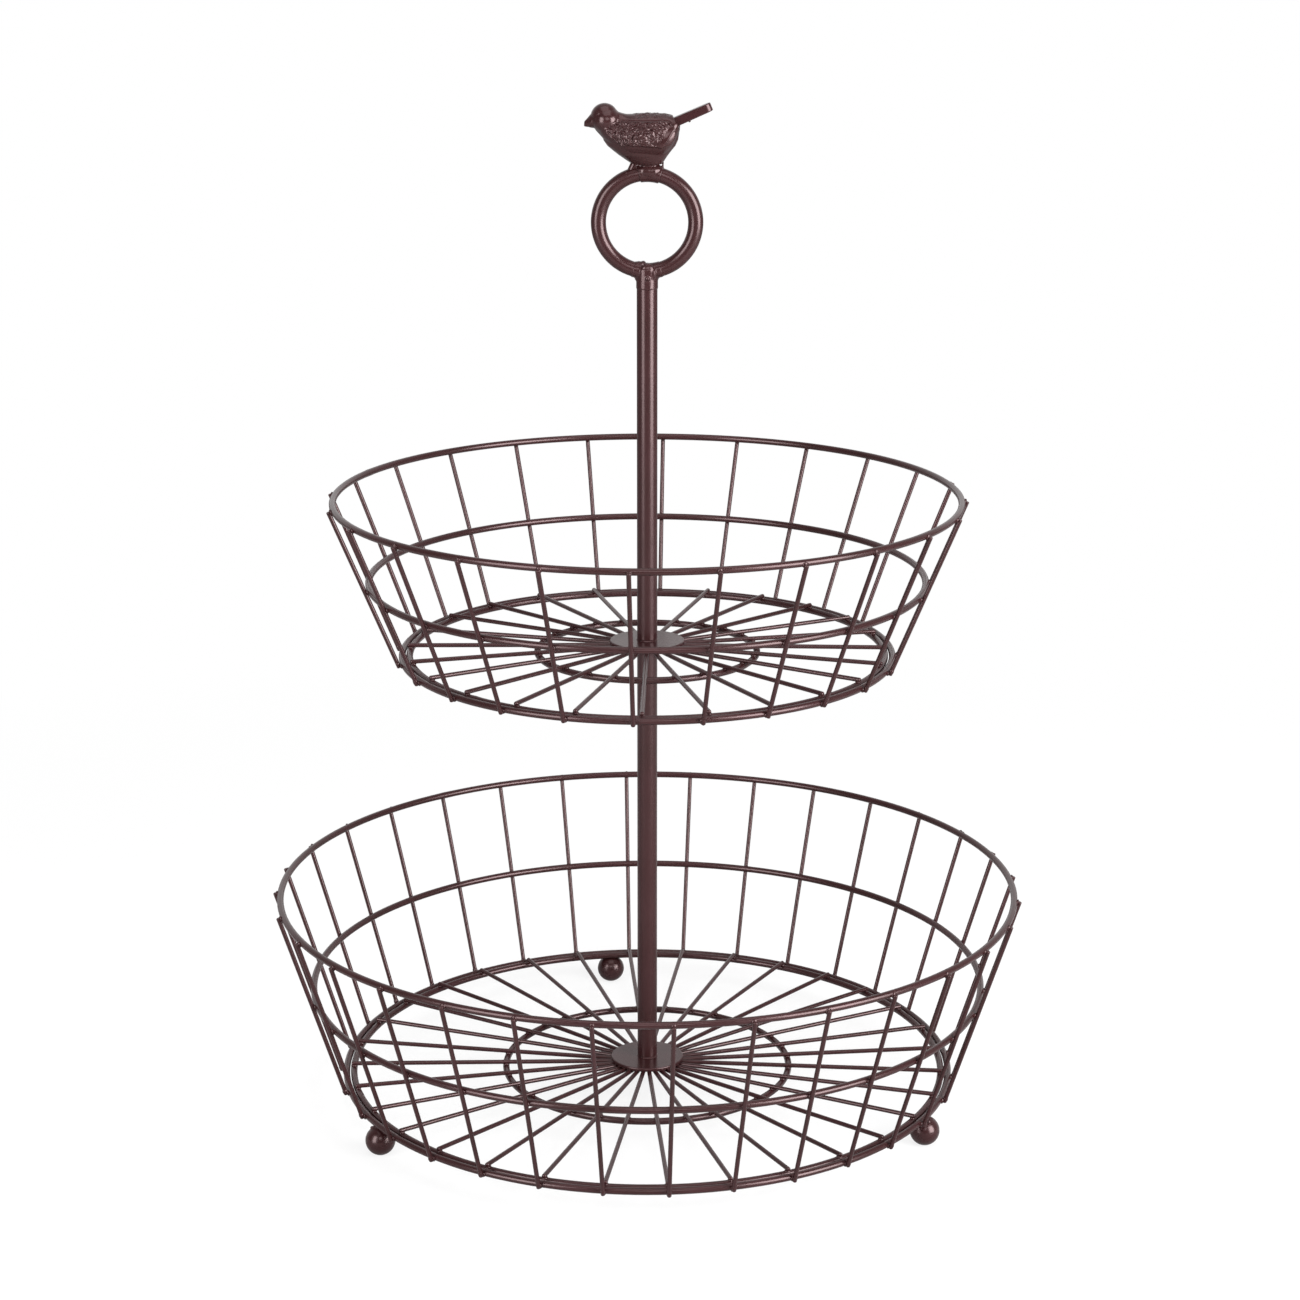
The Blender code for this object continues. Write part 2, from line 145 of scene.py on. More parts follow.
def roundEnds(bm, reach):  # rounds every square edge of rods and discs
    corners = [edge for edge in bm.edges if edge.calc_face_angle(0) > squareEdge]
    rounded = set(bmesh.ops.bevel(
        bm, geom=corners, offset=reach, offset_type="OFFSET", segments=roundingSteps,
        affect="EDGES", profile=0.5, material=-1, clamp_overlap=True,
    )["faces"])
    for edge in bm.edges:  # a crease where a rounding begins keeps the shading off the straight sides
        if len(rounded.intersection(edge.link_faces)) == 1:
            edge.smooth = False


def spinProfile(bm, points, segments):  # turns (radius, height) points about the pole
    verts = [bm.verts.new((radius, 0, height)) for radius, height in points]
    edges = [bm.edges.new(pair) for pair in zip(verts, verts[1:])]
    bmesh.ops.spin(
        bm, geom=verts + edges, cent=(0, 0, 0), axis=upAxis, angle=math.tau, steps=segments, use_merge=True
    )
    bmesh.ops.remove_doubles(bm, verts=bm.verts, dist=closeBy)


def addRing(bm, radius, rodRadius, segments, sides, height=0.0, arc=math.tau):
    section = bmesh.ops.create_circle(bm, segments=sides, radius=rodRadius)["verts"]
    stand = Matrix.Translation((radius, 0, height)) @ Matrix.Rotation(math.pi / 2, 4, "X")
    bmesh.ops.transform(bm, matrix=stand, verts=section)
    edges = list(dict.fromkeys(edge for vert in section for edge in vert.link_edges))
    whole = arc == math.tau
    bmesh.ops.spin(
        bm, geom=section + edges, cent=(0, 0, 0), axis=upAxis, angle=arc, steps=segments, use_merge=whole
    )
    if not whole:
        closeHoles(bm)


def modified(bm, *stages):  # the mesh as a stack of modifiers leaves it, each a kind and its settings
    mesh = bpy.data.meshes.new("working")
    bmesh.ops.recalc_face_normals(bm, faces=bm.faces)
    bm.to_mesh(mesh)
    bm.free()
    holder = bpy.data.objects.new("working", mesh)
    bpy.context.scene.collection.objects.link(holder)
    for kind, settings in stages:
        stage = holder.modifiers.new(kind, kind)
        for name, value in settings.items():
            setattr(stage, name, value)
    graph = bpy.context.evaluated_depsgraph_get()
    made = bmesh.new()
    made.from_mesh(holder.evaluated_get(graph).to_mesh())
    bpy.data.objects.remove(holder)
    bpy.data.meshes.remove(mesh)
    return made


def fuse(bm, voxel, rounds):  # overlapping closed forms become one skin, with the corners run together
    skin = {"mode": "VOXEL", "voxel_size": voxel}
    return modified(bm, ("REMESH", skin), ("SMOOTH", {"factor": 0.5, "iterations": rounds}))


def ringInFrame(nodeName):  # radius, height and rod radius of a level ring, from its solid
    points = [vert.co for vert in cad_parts[nodeName].data.vertices]
    reaches = [math.hypot(point.x, point.y) for point in points]
    low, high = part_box(nodeName)
    return (max(reaches) + min(reaches)) / 2, (low.z + high.z) / 2, (max(reaches) - min(reaches)) / 2


# Materials
mixFrom, mixTo, mixed = 6, 7, 2  # a Mix node's colour sockets, which share their names with others
bronzeFinish = {
    "darkBrown": "#321919",
    "warmBrown": "#3a1f21",
    "driftSize": 24 * mm,    # the coat is a little thicker and darker in places
    "driftRange": (0.3, 0.7),
    "peelSize": 1.7 * mm,    # orange peel of a sprayed and baked powder
    "peelDepth": 0.008 * mm,
    "flakeSize": 0.55 * mm,  # mica flakes, drawn about ten times too coarse so that they show
    "glint": (0.98, 1.02),
    "metallic": 0.36,
    "roughness": (0.24, 0.26),
}
castFinish = {
    **bronzeFinish,
    "peelSize": 1.1 * mm,    # sand-cast skin under the same coat
    "peelDepth": 0.025 * mm,
    "roughness": (0.21, 0.23),
}
zincFinish = {
    "bright": "#c3c6c9",
    "dull": "#9a9da1",
    "spangleSize": 1.2 * mm,
    "roughness": 0.32,
}


# Satin brown powder coat with mica flakes, sprayed on steel and baked: soft highlights, slightly rippled
def powderCoatedMetal(name, finish):
    material = bpy.data.materials.new(name)
    material.use_nodes = True
    tree = material.node_tree
    shader = tree.nodes["Principled BSDF"]
    shader.inputs["Metallic"].default_value = finish["metallic"]
    place = {"Vector": addNode(tree, "ShaderNodeTexCoord").outputs["Object"]}
    drift = addNode(tree, "ShaderNodeTexNoise", {"Scale": 1 / finish["driftSize"], "Detail": 3.0}, place)
    flakes = addNode(tree, "ShaderNodeTexVoronoi", {"Scale": 1 / finish["flakeSize"]}, place)
    peel = addNode(tree, "ShaderNodeTexNoise", {"Scale": 1 / finish["peelSize"], "Detail": 2.0}, place)
    thin, thick = finish["driftRange"]
    spread = addNode(
        tree, "ShaderNodeMapRange", {"From Min": thin, "From Max": thick}, {"Value": drift.outputs["Fac"]}
    )
    tone = addNode(
        tree, "ShaderNodeMix", {mixFrom: linear(finish["darkBrown"]), mixTo: linear(finish["warmBrown"])},
        {0: spread.outputs["Result"]}, data_type="RGBA",
    )
    dim, bright = finish["glint"]
    glint = addNode(
        tree, "ShaderNodeMapRange", {"To Min": dim, "To Max": bright}, {"Value": flakes.outputs["Color"]}
    )
    sparkle = addNode(
        tree, "ShaderNodeVectorMath", None, {0: tone.outputs[mixed], 1: glint.outputs["Result"]},
        operation="MULTIPLY",
    )
    low, high = finish["roughness"]
    gloss = addNode(
        tree, "ShaderNodeMapRange", {"To Min": low, "To Max": high}, {"Value": flakes.outputs["Color"]}
    )
    ripple = addNode(
        tree, "ShaderNodeBump", {"Distance": finish["peelDepth"]}, {"Height": peel.outputs["Fac"]}
    )
    tree.links.new(sparkle.outputs[0], shader.inputs["Base Color"])
    tree.links.new(gloss.outputs["Result"], shader.inputs["Roughness"])
    tree.links.new(ripple.outputs["Normal"], shader.inputs["Normal"])
    return material


# Bright zinc plate of bought screws and washers: bluish metal with a faint spangle
def zincPlatedSteel(name, finish):
    material = bpy.data.materials.new(name)
    material.use_nodes = True
    tree = material.node_tree
    shader = tree.nodes["Principled BSDF"]
    shader.inputs["Metallic"].default_value = 1.0
    shader.inputs["Roughness"].default_value = finish["roughness"]
    place = {"Vector": addNode(tree, "ShaderNodeTexCoord").outputs["Object"]}
    spangle = addNode(tree, "ShaderNodeTexNoise", {"Scale": 1 / finish["spangleSize"], "Detail": 2.0}, place)
    tone = addNode(
        tree, "ShaderNodeMix", {mixFrom: linear(finish["dull"]), mixTo: linear(finish["bright"])},
        {0: spangle.outputs["Fac"]}, data_type="RGBA",
    )
    tree.links.new(tone.outputs[mixed], shader.inputs["Base Color"])
    return material


bronzeCoat = powderCoatedMetal("powder_coated_steel", bronzeFinish)
castCoat = powderCoatedMetal("powder_coated_casting", castFinish)
zincPlate = zincPlatedSteel("zinc_plated_steel", zincFinish)
print("materials made")


# The two wire bowls
rodLook = {
    "sides": 14, "segments": 192, "jointRise": 0.14 * mm, "jointReach": 1.8 * mm,
    # how far round the stand each ring's butt weld lies from the rim's, in radians
    "jointTurns": {"_rim": 0, "_mid_hoop": 2.1, "_base_hoop": 4.0, "_floor_hoop": 1.2, "_inner_hoop": 3.0},
}
wireLook = {
    "radius": 0.95 * mm, "sides": 12, "endRound": 0.35 * mm, "spokeRound": 0.6 * mm,
    "sink": 0.12 * mm,    # how deep a wire is pressed into the ring that it is welded to
    "wander": 0.35 * mm,  # how far a wire's ends may stand off their marks
}
beadLook = {
    "across": 10, "down": 6, "unevenness": 0.14,
    # half sizes of the weld at each kind of crossing: through both wires, along one and along the other
    "rim": (0.75 * mm, 1.5 * mm, 1.3 * mm), "base": (0.75 * mm, 1.4 * mm, 1.35 * mm),
    "mid": (0.7 * mm, 1.35 * mm, 1.25 * mm), "floor": (0.7 * mm, 1.3 * mm, 1.35 * mm),
    "inner": (0.7 * mm, 1.25 * mm, 1.3 * mm), "hub": (0.45 * mm, 1.6 * mm, 1.1 * mm),
    "hubInset": 1.5 * mm,
}
lowerBowl = {
    "side": "lower", "wireCount": 32, "wireTurn": math.radians(3.75), "spokeTurn": math.radians(3.75),
    "midRise": 41.0 * mm, "innerRadius": 62.5 * mm, "jointAngle": math.radians(128), "seed": 11,
}
upperBowl = {
    "side": "upper", "wireCount": 24, "wireTurn": math.radians(12.0), "spokeTurn": math.radians(14.0),
    "midRise": 32.5 * mm, "innerRadius": 46.8 * mm, "jointAngle": math.radians(158), "seed": 23,
}
wireEnds = {
    # how far a side wire stands past the rim and below the base ring, and how much shorter it may be cut
    "head": 1.2 * mm, "tail": 0.8 * mm, "trim": 0.5 * mm,
    "spokeInner": 11.0 * mm, "spokeOverhang": 1.2 * mm,
    "swell": (1.12 * mm, 1.08 * mm, 1.75 * mm),  # the coat runs down and gathers on a wire's lower end
    "swellPlace": 0.9,
}


def swellJoint(bm, radius, height, angle):  # the butt weld where the two ends of a ring's rod meet
    for vert in bm.verts:
        around = math.atan2(vert.co.y, vert.co.x)
        off = math.remainder(around - angle, math.tau) * radius / rodLook["jointReach"]
        centre = polar(radius, around, height)
        vert.co += (vert.co - centre).normalized() * rodLook["jointRise"] * math.exp(-off * off)


def bowlRing(bowl, hoop, radius, height, rodRadius, nodeName):
    side, angle = bowl["side"], bowl["jointAngle"] + rodLook["jointTurns"][hoop]
    bm = bmesh.new()
    addRing(bm, radius, rodRadius, rodLook["segments"], rodLook["sides"], height)
    swellJoint(bm, radius, height, angle)
    finishPiece(side + hoop, bm, bronzeCoat, [side + nodeName])


def wirePattern(start, end, edgeRound):  # one wire, made once and set down many times
    bm = bmesh.new()
    addRod(bm, start, end, wireLook["radius"], wireLook["sides"])
    roundEnds(bm, edgeRound)
    pattern = bpy.data.meshes.new("pattern")
    bm.to_mesh(pattern)
    bm.free()
    return pattern


def setDown(bm, pattern, matrix):
    before = len(bm.verts)
    bm.from_mesh(pattern)
    bm.verts.ensure_lookup_table()
    bmesh.ops.transform(bm, matrix=matrix, verts=bm.verts[before:])


def addBead(bm, chance, spot, outward, along, size):  # a small uneven weld, flattened between two wires
    uneven = [side * chance.uniform(1 - beadLook["unevenness"], 1 + beadLook["unevenness"]) for side in size]
    addBall(bm, axesAt(spot, outward, along), uneven, beadLook["across"], beadLook["down"])


# Leaning side wires: straight, outside the rim and the base ring, each a little off its mark
def sideWires(bowl, chance, rim, base, outward, touch):
    side, count = bowl["side"], bowl["wireCount"]
    rimSpot, baseSpot = rim + outward * touch, base + outward * touch
    seat, swell = wireLook["radius"], wireEnds["swell"]
    length = (rimSpot - baseSpot).length + wireEnds["head"] + wireEnds["tail"]
    pattern = wirePattern(Vector((0, 0, 0)), Vector((0, 0, length)), wireLook["endRound"])
    wires, beads = bmesh.new(), bmesh.new()
    for k in range(count):
        angle = bowl["wireTurn"] + math.tau * k / count
        headAngle = angle + chance.uniform(-1, 1) * wireLook["wander"] / rim.x
        tailAngle = angle + chance.uniform(-1, 1) * wireLook["wander"] / base.x
        top = polar(rimSpot.x, headAngle, rimSpot.y)
        foot = polar(baseSpot.x, tailAngle, baseSpot.y)
        along = (top - foot).normalized()
        start = foot - along * (wireEnds["tail"] - chance.uniform(0, wireEnds["trim"]))
        end = top + along * (wireEnds["head"] - chance.uniform(0, wireEnds["trim"]))
        setDown(wires, pattern, alongAt(start, along) @ stretch(1, 1, (end - start).length / length))
        face = Vector((math.cos(angle) * outward.x, math.sin(angle) * outward.x, outward.y))
        gathered = start + along * swell[2] * wireEnds["swellPlace"]
        middle = foot.lerp(top, bowl["midRise"] / (rim.y - base.y))
        addBead(beads, chance, top - face * seat, face, along, beadLook["rim"])
        addBead(beads, chance, foot - face * seat, face, along, beadLook["base"])
        addBead(beads, chance, gathered, face, along.cross(face), swell)
        addBead(beads, chance, middle - face * seat, face, along, beadLook["mid"])
    finishPiece(side + "_uprights", wires, bronzeCoat, [side + "_side_wires"])
    finishPiece(side + "_side_welds", beads, bronzeCoat)
    bpy.data.meshes.remove(pattern)


# Floor: straight spokes on the floor ring, tucked under the hub disc, with a small ring below them
def bowlFloor(bowl, chance, floorRadius, floorHeight, rodRadius, touch):
    side, count, seat = bowl["side"], bowl["wireCount"], wireLook["radius"]
    hubLow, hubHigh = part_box(side + "_hub_disc")
    outer = floorRadius + wireEnds["spokeOverhang"]
    topHeight = floorHeight + touch
    tuck = hubLow.z - seat + wireLook["sink"] / 2
    fall = (topHeight - tuck) / (outer - hubHigh.x)
    innerEnd = Vector((wireEnds["spokeInner"], 0, topHeight - (outer - wireEnds["spokeInner"]) * fall))
    pattern = wirePattern(innerEnd, Vector((outer, 0, topHeight)), wireLook["spokeRound"])
    innerRadius = bowl["innerRadius"]
    innerHeight = topHeight - (outer - innerRadius) * fall - touch
    spokes, beads = bmesh.new(), bmesh.new()
    for k in range(count):
        angle = bowl["spokeTurn"] + math.tau * k / count
        angle += chance.uniform(-1, 1) * wireLook["wander"] / outer
        setDown(spokes, pattern, Matrix.Rotation(angle, 4, "Z"))
        outwards = polar(1, angle, 0)
        over = polar(floorRadius, angle, topHeight - seat)
        under = polar(innerRadius, angle, innerHeight + touch - seat)
        tip = polar(hubHigh.x - beadLook["hubInset"], angle, hubLow.z)
        addBead(beads, chance, over, upAxis, outwards, beadLook["floor"])
        addBead(beads, chance, under, upAxis, outwards, beadLook["inner"])
        addBead(beads, chance, tip, upAxis, outwards, beadLook["hub"])
    finishPiece(side + "_spokes", spokes, bronzeCoat, [side + "_floor_spokes"])
    finishPiece(side + "_floor_welds", beads, bronzeCoat)
    bpy.data.meshes.remove(pattern)
    bowlRing(bowl, "_inner_hoop", innerRadius, innerHeight, rodRadius, "_floor_spokes")


def wireBowl(bowl):
    side = bowl["side"]
    chance = random.Random(bowl["seed"])
    rimRadius, rimHeight, rodRadius = ringInFrame(side + "_rim_ring")
    baseRadius, baseHeight, _ = ringInFrame(side + "_base_ring")
    floorRadius, floorHeight, _ = ringInFrame(side + "_floor_ring")
    rim, base = Vector((rimRadius, rimHeight)), Vector((baseRadius, baseHeight))
    lean = math.atan2(rimRadius - baseRadius, rimHeight - baseHeight)
    outward, upward = Vector((math.cos(lean), -math.sin(lean))), Vector((math.sin(lean), math.cos(lean)))
    midRadius, midHeight = base + upward * (bowl["midRise"] / math.cos(lean))
    touch = rodRadius + wireLook["radius"] - wireLook["sink"]  # between the middles of a ring and a wire
    bowlRing(bowl, "_rim", rimRadius, rimHeight, rodRadius, "_rim_ring")
    bowlRing(bowl, "_mid_hoop", midRadius, midHeight, rodRadius, "_side_wires")
    bowlRing(bowl, "_base_hoop", baseRadius, baseHeight, rodRadius, "_base_ring")
    bowlRing(bowl, "_floor_hoop", floorRadius, floorHeight, rodRadius, "_floor_ring")
    sideWires(bowl, chance, rim, base, outward, touch)
    bowlFloor(bowl, chance, floorRadius, floorHeight, rodRadius, touch)
    print(side, "bowl made")


wireBowl(lowerBowl)
wireBowl(upperBowl)


# Hub discs: punched from 1.6 mm sheet, edges broken
hubLook = {"hole": 2.8 * mm, "edgeRound": 0.4 * mm, "segments": 96}


def hubDisc(side):
    low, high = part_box(side + "_hub_disc")
    hole, reach = hubLook["hole"], high.x
    outline = [(hole, low.z), (reach, low.z), (reach, high.z), (hole, high.z), (hole, low.z)]
    bm = bmesh.new()
    spinProfile(bm, outline, hubLook["segments"])
    roundEnds(bm, hubLook["edgeRound"])
    finishPiece(side + "_hub", bm, bronzeCoat, [side + "_hub_disc"])


hubDisc("lower")
hubDisc("upper")


# Centre pole in two lengths, tapped at the joints
poleLook = {
    "segments": 48, "edgeRound": 0.4 * mm, "bore": 2.8 * mm,
    "screwBore": 11.5 * mm, "studBore": 12.5 * mm,  # how deep each bore is
}


def poleLength(nodeName, pieceName, lowBore, highBore):
    low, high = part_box(nodeName)
    reach, bore = high.x, poleLook["bore"]
    points = [(0, low.z + lowBore), (bore, low.z + lowBore), (bore, low.z), (reach, low.z), (reach, high.z)]
    if highBore:
        points += [(bore, high.z), (bore, high.z - highBore), (0, high.z - highBore)]
    else:
        points += [(0, high.z)]
    bm = bmesh.new()
    spinProfile(bm, points, poleLook["segments"])
    roundEnds(bm, poleLook["edgeRound"])
    finishPiece(pieceName, bm, bronzeCoat, [nodeName])


poleLength("lower_pole", "pole_lower_length", poleLook["screwBore"], poleLook["studBore"])
poleLength("upper_pole", "pole_upper_length", poleLook["studBore"], 0)
print("hubs and pole made")


# Ring handle of bent rod, standing on the pole
handleLook = {
    "segments": 144, "sides": 24, "arcSegments": 24, "arcSides": 20,
    "solidSides": 10,  # the solid's rod has ten flat sides, so its box is a little narrower than the rod
}
handleLow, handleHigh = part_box("handle_ring")
handleRod = (handleHigh.y - handleLow.y) / 2 / math.cos(math.pi / handleLook["solidSides"])
handleRadius = handleHigh.x - handleRod
handleCentre = Vector((0, 0, (handleLow.z + handleHigh.z) / 2))
bm = bmesh.new()
addRing(bm, handleRadius, handleRod, handleLook["segments"], handleLook["sides"])
bmesh.ops.rotate(bm, cent=(0, 0, 0), matrix=Matrix.Rotation(math.pi / 2, 3, "X"), verts=bm.verts)
bmesh.ops.translate(bm, verts=bm.verts, vec=handleCentre)
finishPiece("handle_hoop", bm, bronzeCoat, ["handle_ring"])


# Welds where rods meet, run together and a little lumpy
weldLook = {"voxel": 0.2 * mm, "rounds": 9, "lump": (16, 12), "rodSides": 24}


def handleArc(bm, extra, middle, spread):  # a stretch of the handle's rod, a little thicker
    others = set(bm.verts)
    addRing(bm, handleRadius, handleRod + extra, handleLook["arcSegments"], handleLook["arcSides"], 0, spread)
    verts = [vert for vert in bm.verts if vert not in others]
    bmesh.ops.rotate(bm, cent=(0, 0, 0), matrix=Matrix.Rotation(middle - spread / 2, 3, "Z"), verts=verts)
    bmesh.ops.rotate(bm, cent=(0, 0, 0), matrix=Matrix.Rotation(math.pi / 2, 3, "X"), verts=verts)
    bmesh.ops.translate(bm, verts=verts, vec=handleCentre)


handleWeld = {
    "sleeve": 0.22 * mm, "sleeveLength": 5.2 * mm, "sleeveSides": 32, "arc": math.radians(34),
    # lumps, each a place from the ring's lowest inner point and three half sizes, in millimetres
    "lumps": [
        ((-3.4, 0.0, -0.1), (1.5, 2.1, 1.1)),   # raised run inside the ring, left of the dip
        ((-1.6, -0.3, 0.05), (1.2, 2.0, 1.15)),
        ((0.2, -2.9, -4.2), (3.3, 1.6, 4.6)),   # sheet of weld up the front
        ((0.2, -4.4, -5.7), (1.0, 0.8, 1.0)),
        ((1.2, -4.1, -10.0), (0.7, 0.5, 0.7)),
        ((2.9, -3.2, -4.0), (0.8, 1.1, 2.2)),
        ((-4.0, 0.0, -5.7), (1.2, 1.7, 1.7)),   # fillet at the left shoulder, fin at the right one
        ((4.5, 0.0, -5.6), (0.4, 0.9, 1.2)),
        ((0.0, 3.0, -4.4), (3.2, 1.4, 4.4)),    # up the back
    ],
}
bm = bmesh.new()
poleReach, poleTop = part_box("upper_pole")[1].x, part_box("upper_pole")[1].z
sleeveFoot = Vector((0, 0, poleTop - handleWeld["sleeveLength"]))
sleeveTop = Vector((0, 0, poleTop + handleRod))
addRod(bm, sleeveFoot, sleeveTop, poleReach + handleWeld["sleeve"], handleWeld["sleeveSides"])
handleArc(bm, handleWeld["sleeve"], -math.pi / 2, handleWeld["arc"])
innerLow = handleCentre - upAxis * (handleRadius - handleRod)
for place, size in handleWeld["lumps"]:
    addLump(bm, place, size, weldLook["lump"], Matrix.Translation(innerLow))
bm = fuse(bm, weldLook["voxel"], weldLook["rounds"])
finishPiece("handle_weld", bm, bronzeCoat)


# Small fillets between the pole and the hub discs
filletLook = {
    "leg": 0.5 * mm, "crown": 0.4, "segments": 64, "voxel": 0.14 * mm, "rounds": 3,
    "ripple": 0.12 * mm, "rippleCount": 5,
    "pit": math.radians(216), "pitReach": 0.3, "pitDepth": 1.6,  # where the weld was begun, its depth in legs
}


def poleFillet(name, height, radius, way, seed):  # way is +1 above the disc and -1 below it
    bm = bmesh.new()
    leg, crown = filletLook["leg"], filletLook["crown"]
    spinProfile(bm, [
        (radius - leg, height - way * leg / 2), (radius + leg, height - way * leg / 2),
        (radius + leg, height), (radius + leg * crown, height + way * leg * crown),
        (radius, height + way * leg), (radius - leg, height + way * leg),
        (radius - leg, height - way * leg / 2),
    ], filletLook["segments"])
    bm = fuse(bm, filletLook["voxel"], filletLook["rounds"])
    for vert in bm.verts:  # ripples left by the weld, and the pit where it was begun
        around = math.atan2(vert.co.y, vert.co.x)
        off = math.remainder(around - filletLook["pit"], math.tau) / filletLook["pitReach"]
        ripple = noise.noise(polar(filletLook["rippleCount"], around, seed)) * filletLook["ripple"]
        pit = filletLook["pitDepth"] * leg * math.exp(-off * off)
        reach = math.hypot(vert.co.x, vert.co.y)
        if reach > radius - leg / 2:
            vert.co = polar(reach + ripple - pit, around, vert.co.z)
    finishPiece(name, bm, bronzeCoat)


poleFillet("lower_hub_weld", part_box("lower_hub_disc")[1].z, poleReach, 1, 5)
poleFillet("upper_hub_weld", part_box("upper_hub_disc")[1].z, poleReach, 1, 6)
poleFillet("upper_hub_under_weld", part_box("upper_hub_disc")[0].z, poleReach, -1, 7)
print("handle and pole welds made")


# Small cast bird, and the weld that holds it on the ring
birdLook = {
    "voxel": 0.24 * mm, "rounds": 8, "sharpAngle": 80,
    # the bird is the solid made smooth, joined to a round head, cheeks, a throat, a beak and a belly; all
    # places and sizes here are millimetres
    "joinAngles": (math.radians(40), math.radians(60)),
    "head": (-17.3, 0.0, 426.7), "headRadius": 5.75, "headFacets": (40, 28),
    "cheeks": ((-16.4, 0.0, 425.6), (6.2, 6.9, 5.6)),
    "throat": ((-18.8, 0.0, 423.1), (-16.5, 0.0, 420.6), 2.7), "throatFacets": (24, 16),
    # the solid's own head draws back: share, reach, where it starts along the bird and how far it takes
    "draw": (0.32, 8.4, -23.6, 3),
    "narrow": ((-12.5, 426.5), 4.5, 0.35),  # middle, reach and share
    # the belly narrows to the ring like a funnel: height, its two ends along the bird and half its width
    "bellySides": 48,
    "belly": [(407.8, -6.0, 6.2, 4.8), (409.4, -8.5, 7.2, 5.9), (411.6, -11.7, 8.7, 7.0),
              (413.4, -14.0, 10.1, 7.4), (415.2, -16.2, 11.6, 7.5), (417.6, -17.9, 12.7, 7.3),
              (420.2, -17.0, 13.1, 6.8), (422.2, -15.0, 13.4, 5.6), (423.6, -13.0, 13.6, 4.0)],
    # outline of the flat tail from the side, width across it, how far its tip and its edges are rounded
    "tail": [(11.0, 422.5), (26.9, 429.6), (25.6, 432.75), (8.0, 425.4)],
    "tailWidth": 4.6, "tailTip": 2.9, "tipStart": 20, "tipRound": 0.49, "tipSteps": 10, "tailRound": 0.4,
    "drip": ((17.3, -0.9, 425.3), (0.5, 0.5, 0.6)),
    # hollows behind the head and over the tail's root, each a place, a reach and a depth
    "hollows": [(-9.6, 429.3, 2.6, 0.4), (12.2, 427.6, 2.0, 0.7)],
    "tailCut": ((11.9, 0.0, 425.2), (0.91, 0.0, 0.42)),
    "beak": {"root": (-21.9, 424.4), "tip": (-25.2, 423.45), "rootRadius": 2.2, "tipRadius": 0.6, "sides": 24},
    # wing outline from the side: place along the bird, lower edge and upper edge
    "wing": [(-16.9, 421.0, 422.2), (-14.6, 418.9, 424.1), (-12.6, 417.3, 425.0), (-9.7, 415.9, 425.3),
             (-3.9, 415.7, 425.4), (3.5, 415.2, 425.4), (6.2, 414.7, 425.6), (9.0, 415.8, 425.2),
             (10.5, 417.9, 423.9), (11.2, 420.2, 421.6)],
    "wingRise": 0.6, "wingEdge": 0.55, "flankEase": 2.5,
    # groove over the wing: width and depth, how far behind the wing's front it opens and how gradually
    "groove": (0.35, 0.3, 2.0, 4.0),
    "pebble": (2.2, 1.7), "pebbleDepth": 0.68,
    # each pebble's middle level, how it falls off, how uneven they are and how they change across the bird
    "dome": {"level": 0.4, "fall": 1.5, "uneven": 0.6, "shuffle": 3.7, "across": 5.3},
    # long feathers: where the first one starts, the way across them, their width and depth, then how each
    # rises across its width and drops at its edge
    "feather": {"start": (3.4, 415.4), "across": (0.83, -0.56), "width": 2.7, "depth": 0.9, "ease": 0.5,
                "rise": 1.2, "level": 0.5, "edge": (0.78, 0.22)},
    # pebbles along the back: from, to, lowest height, and how gradually they begin along and up
    "back": (-6.5, 10.8, 426.6, 2.0, 0.6), "backSize": 1.15, "backDepth": 0.36, "backPattern": 7,
}


def between(points, x):  # the lower and upper edge at x, read between the points
    for (x0, *first), (x1, *second) in zip(points, points[1:]):
        if x0 <= x <= x1:
            share = (x - x0) / (x1 - x0)
            return [a + (b - a) * share for a, b in zip(first, second)]
    return None


def easeIn(value):
    value = max(0.0, min(1.0, value))
    return value * value * (3 - 2 * value)


def pebbles(x, z, side):  # small beaten feathers: domes of uneven height with creases between
    dome = birdLook["dome"]
    distances, centres = noise.voronoi(Vector((x, z, dome["across"] * side)))
    height = noise.noise(centres[0] * dome["shuffle"])
    return dome["level"] - dome["fall"] * distances[0] ** 2 + dome["uneven"] * height


def wingRise(x, side, z, edges, flank):  # the wing's rise between its lower and upper edge
    inside = flank * easeIn(min(z - edges[0], edges[1] - z) / birdLook["wingEdge"])
    feather = birdLook["feather"]
    startX, startZ = feather["start"]
    across = (x - startX) * feather["across"][0] + (z - startZ) * feather["across"][1]
    quills = easeIn(across + feather["ease"])
    step = (across / feather["width"]) % 1.0
    edge, drop = feather["edge"]
    ridge = step * feather["rise"] - feather["level"] - feather["rise"] * easeIn((step - edge) / drop)
    long, wide = birdLook["pebble"]
    rise = inside * birdLook["wingRise"]
    rise += inside * (1 - quills) * birdLook["pebbleDepth"] * pebbles(x / long, z / wide, side)
    rise += inside * quills * feather["depth"] * ridge
    width, depth, start, ease = birdLook["groove"]
    opening = easeIn((x - birdLook["wing"][0][0] - start) / ease)
    return rise - opening * flank * depth * math.exp(-((z - edges[1] - width) / width) ** 2)


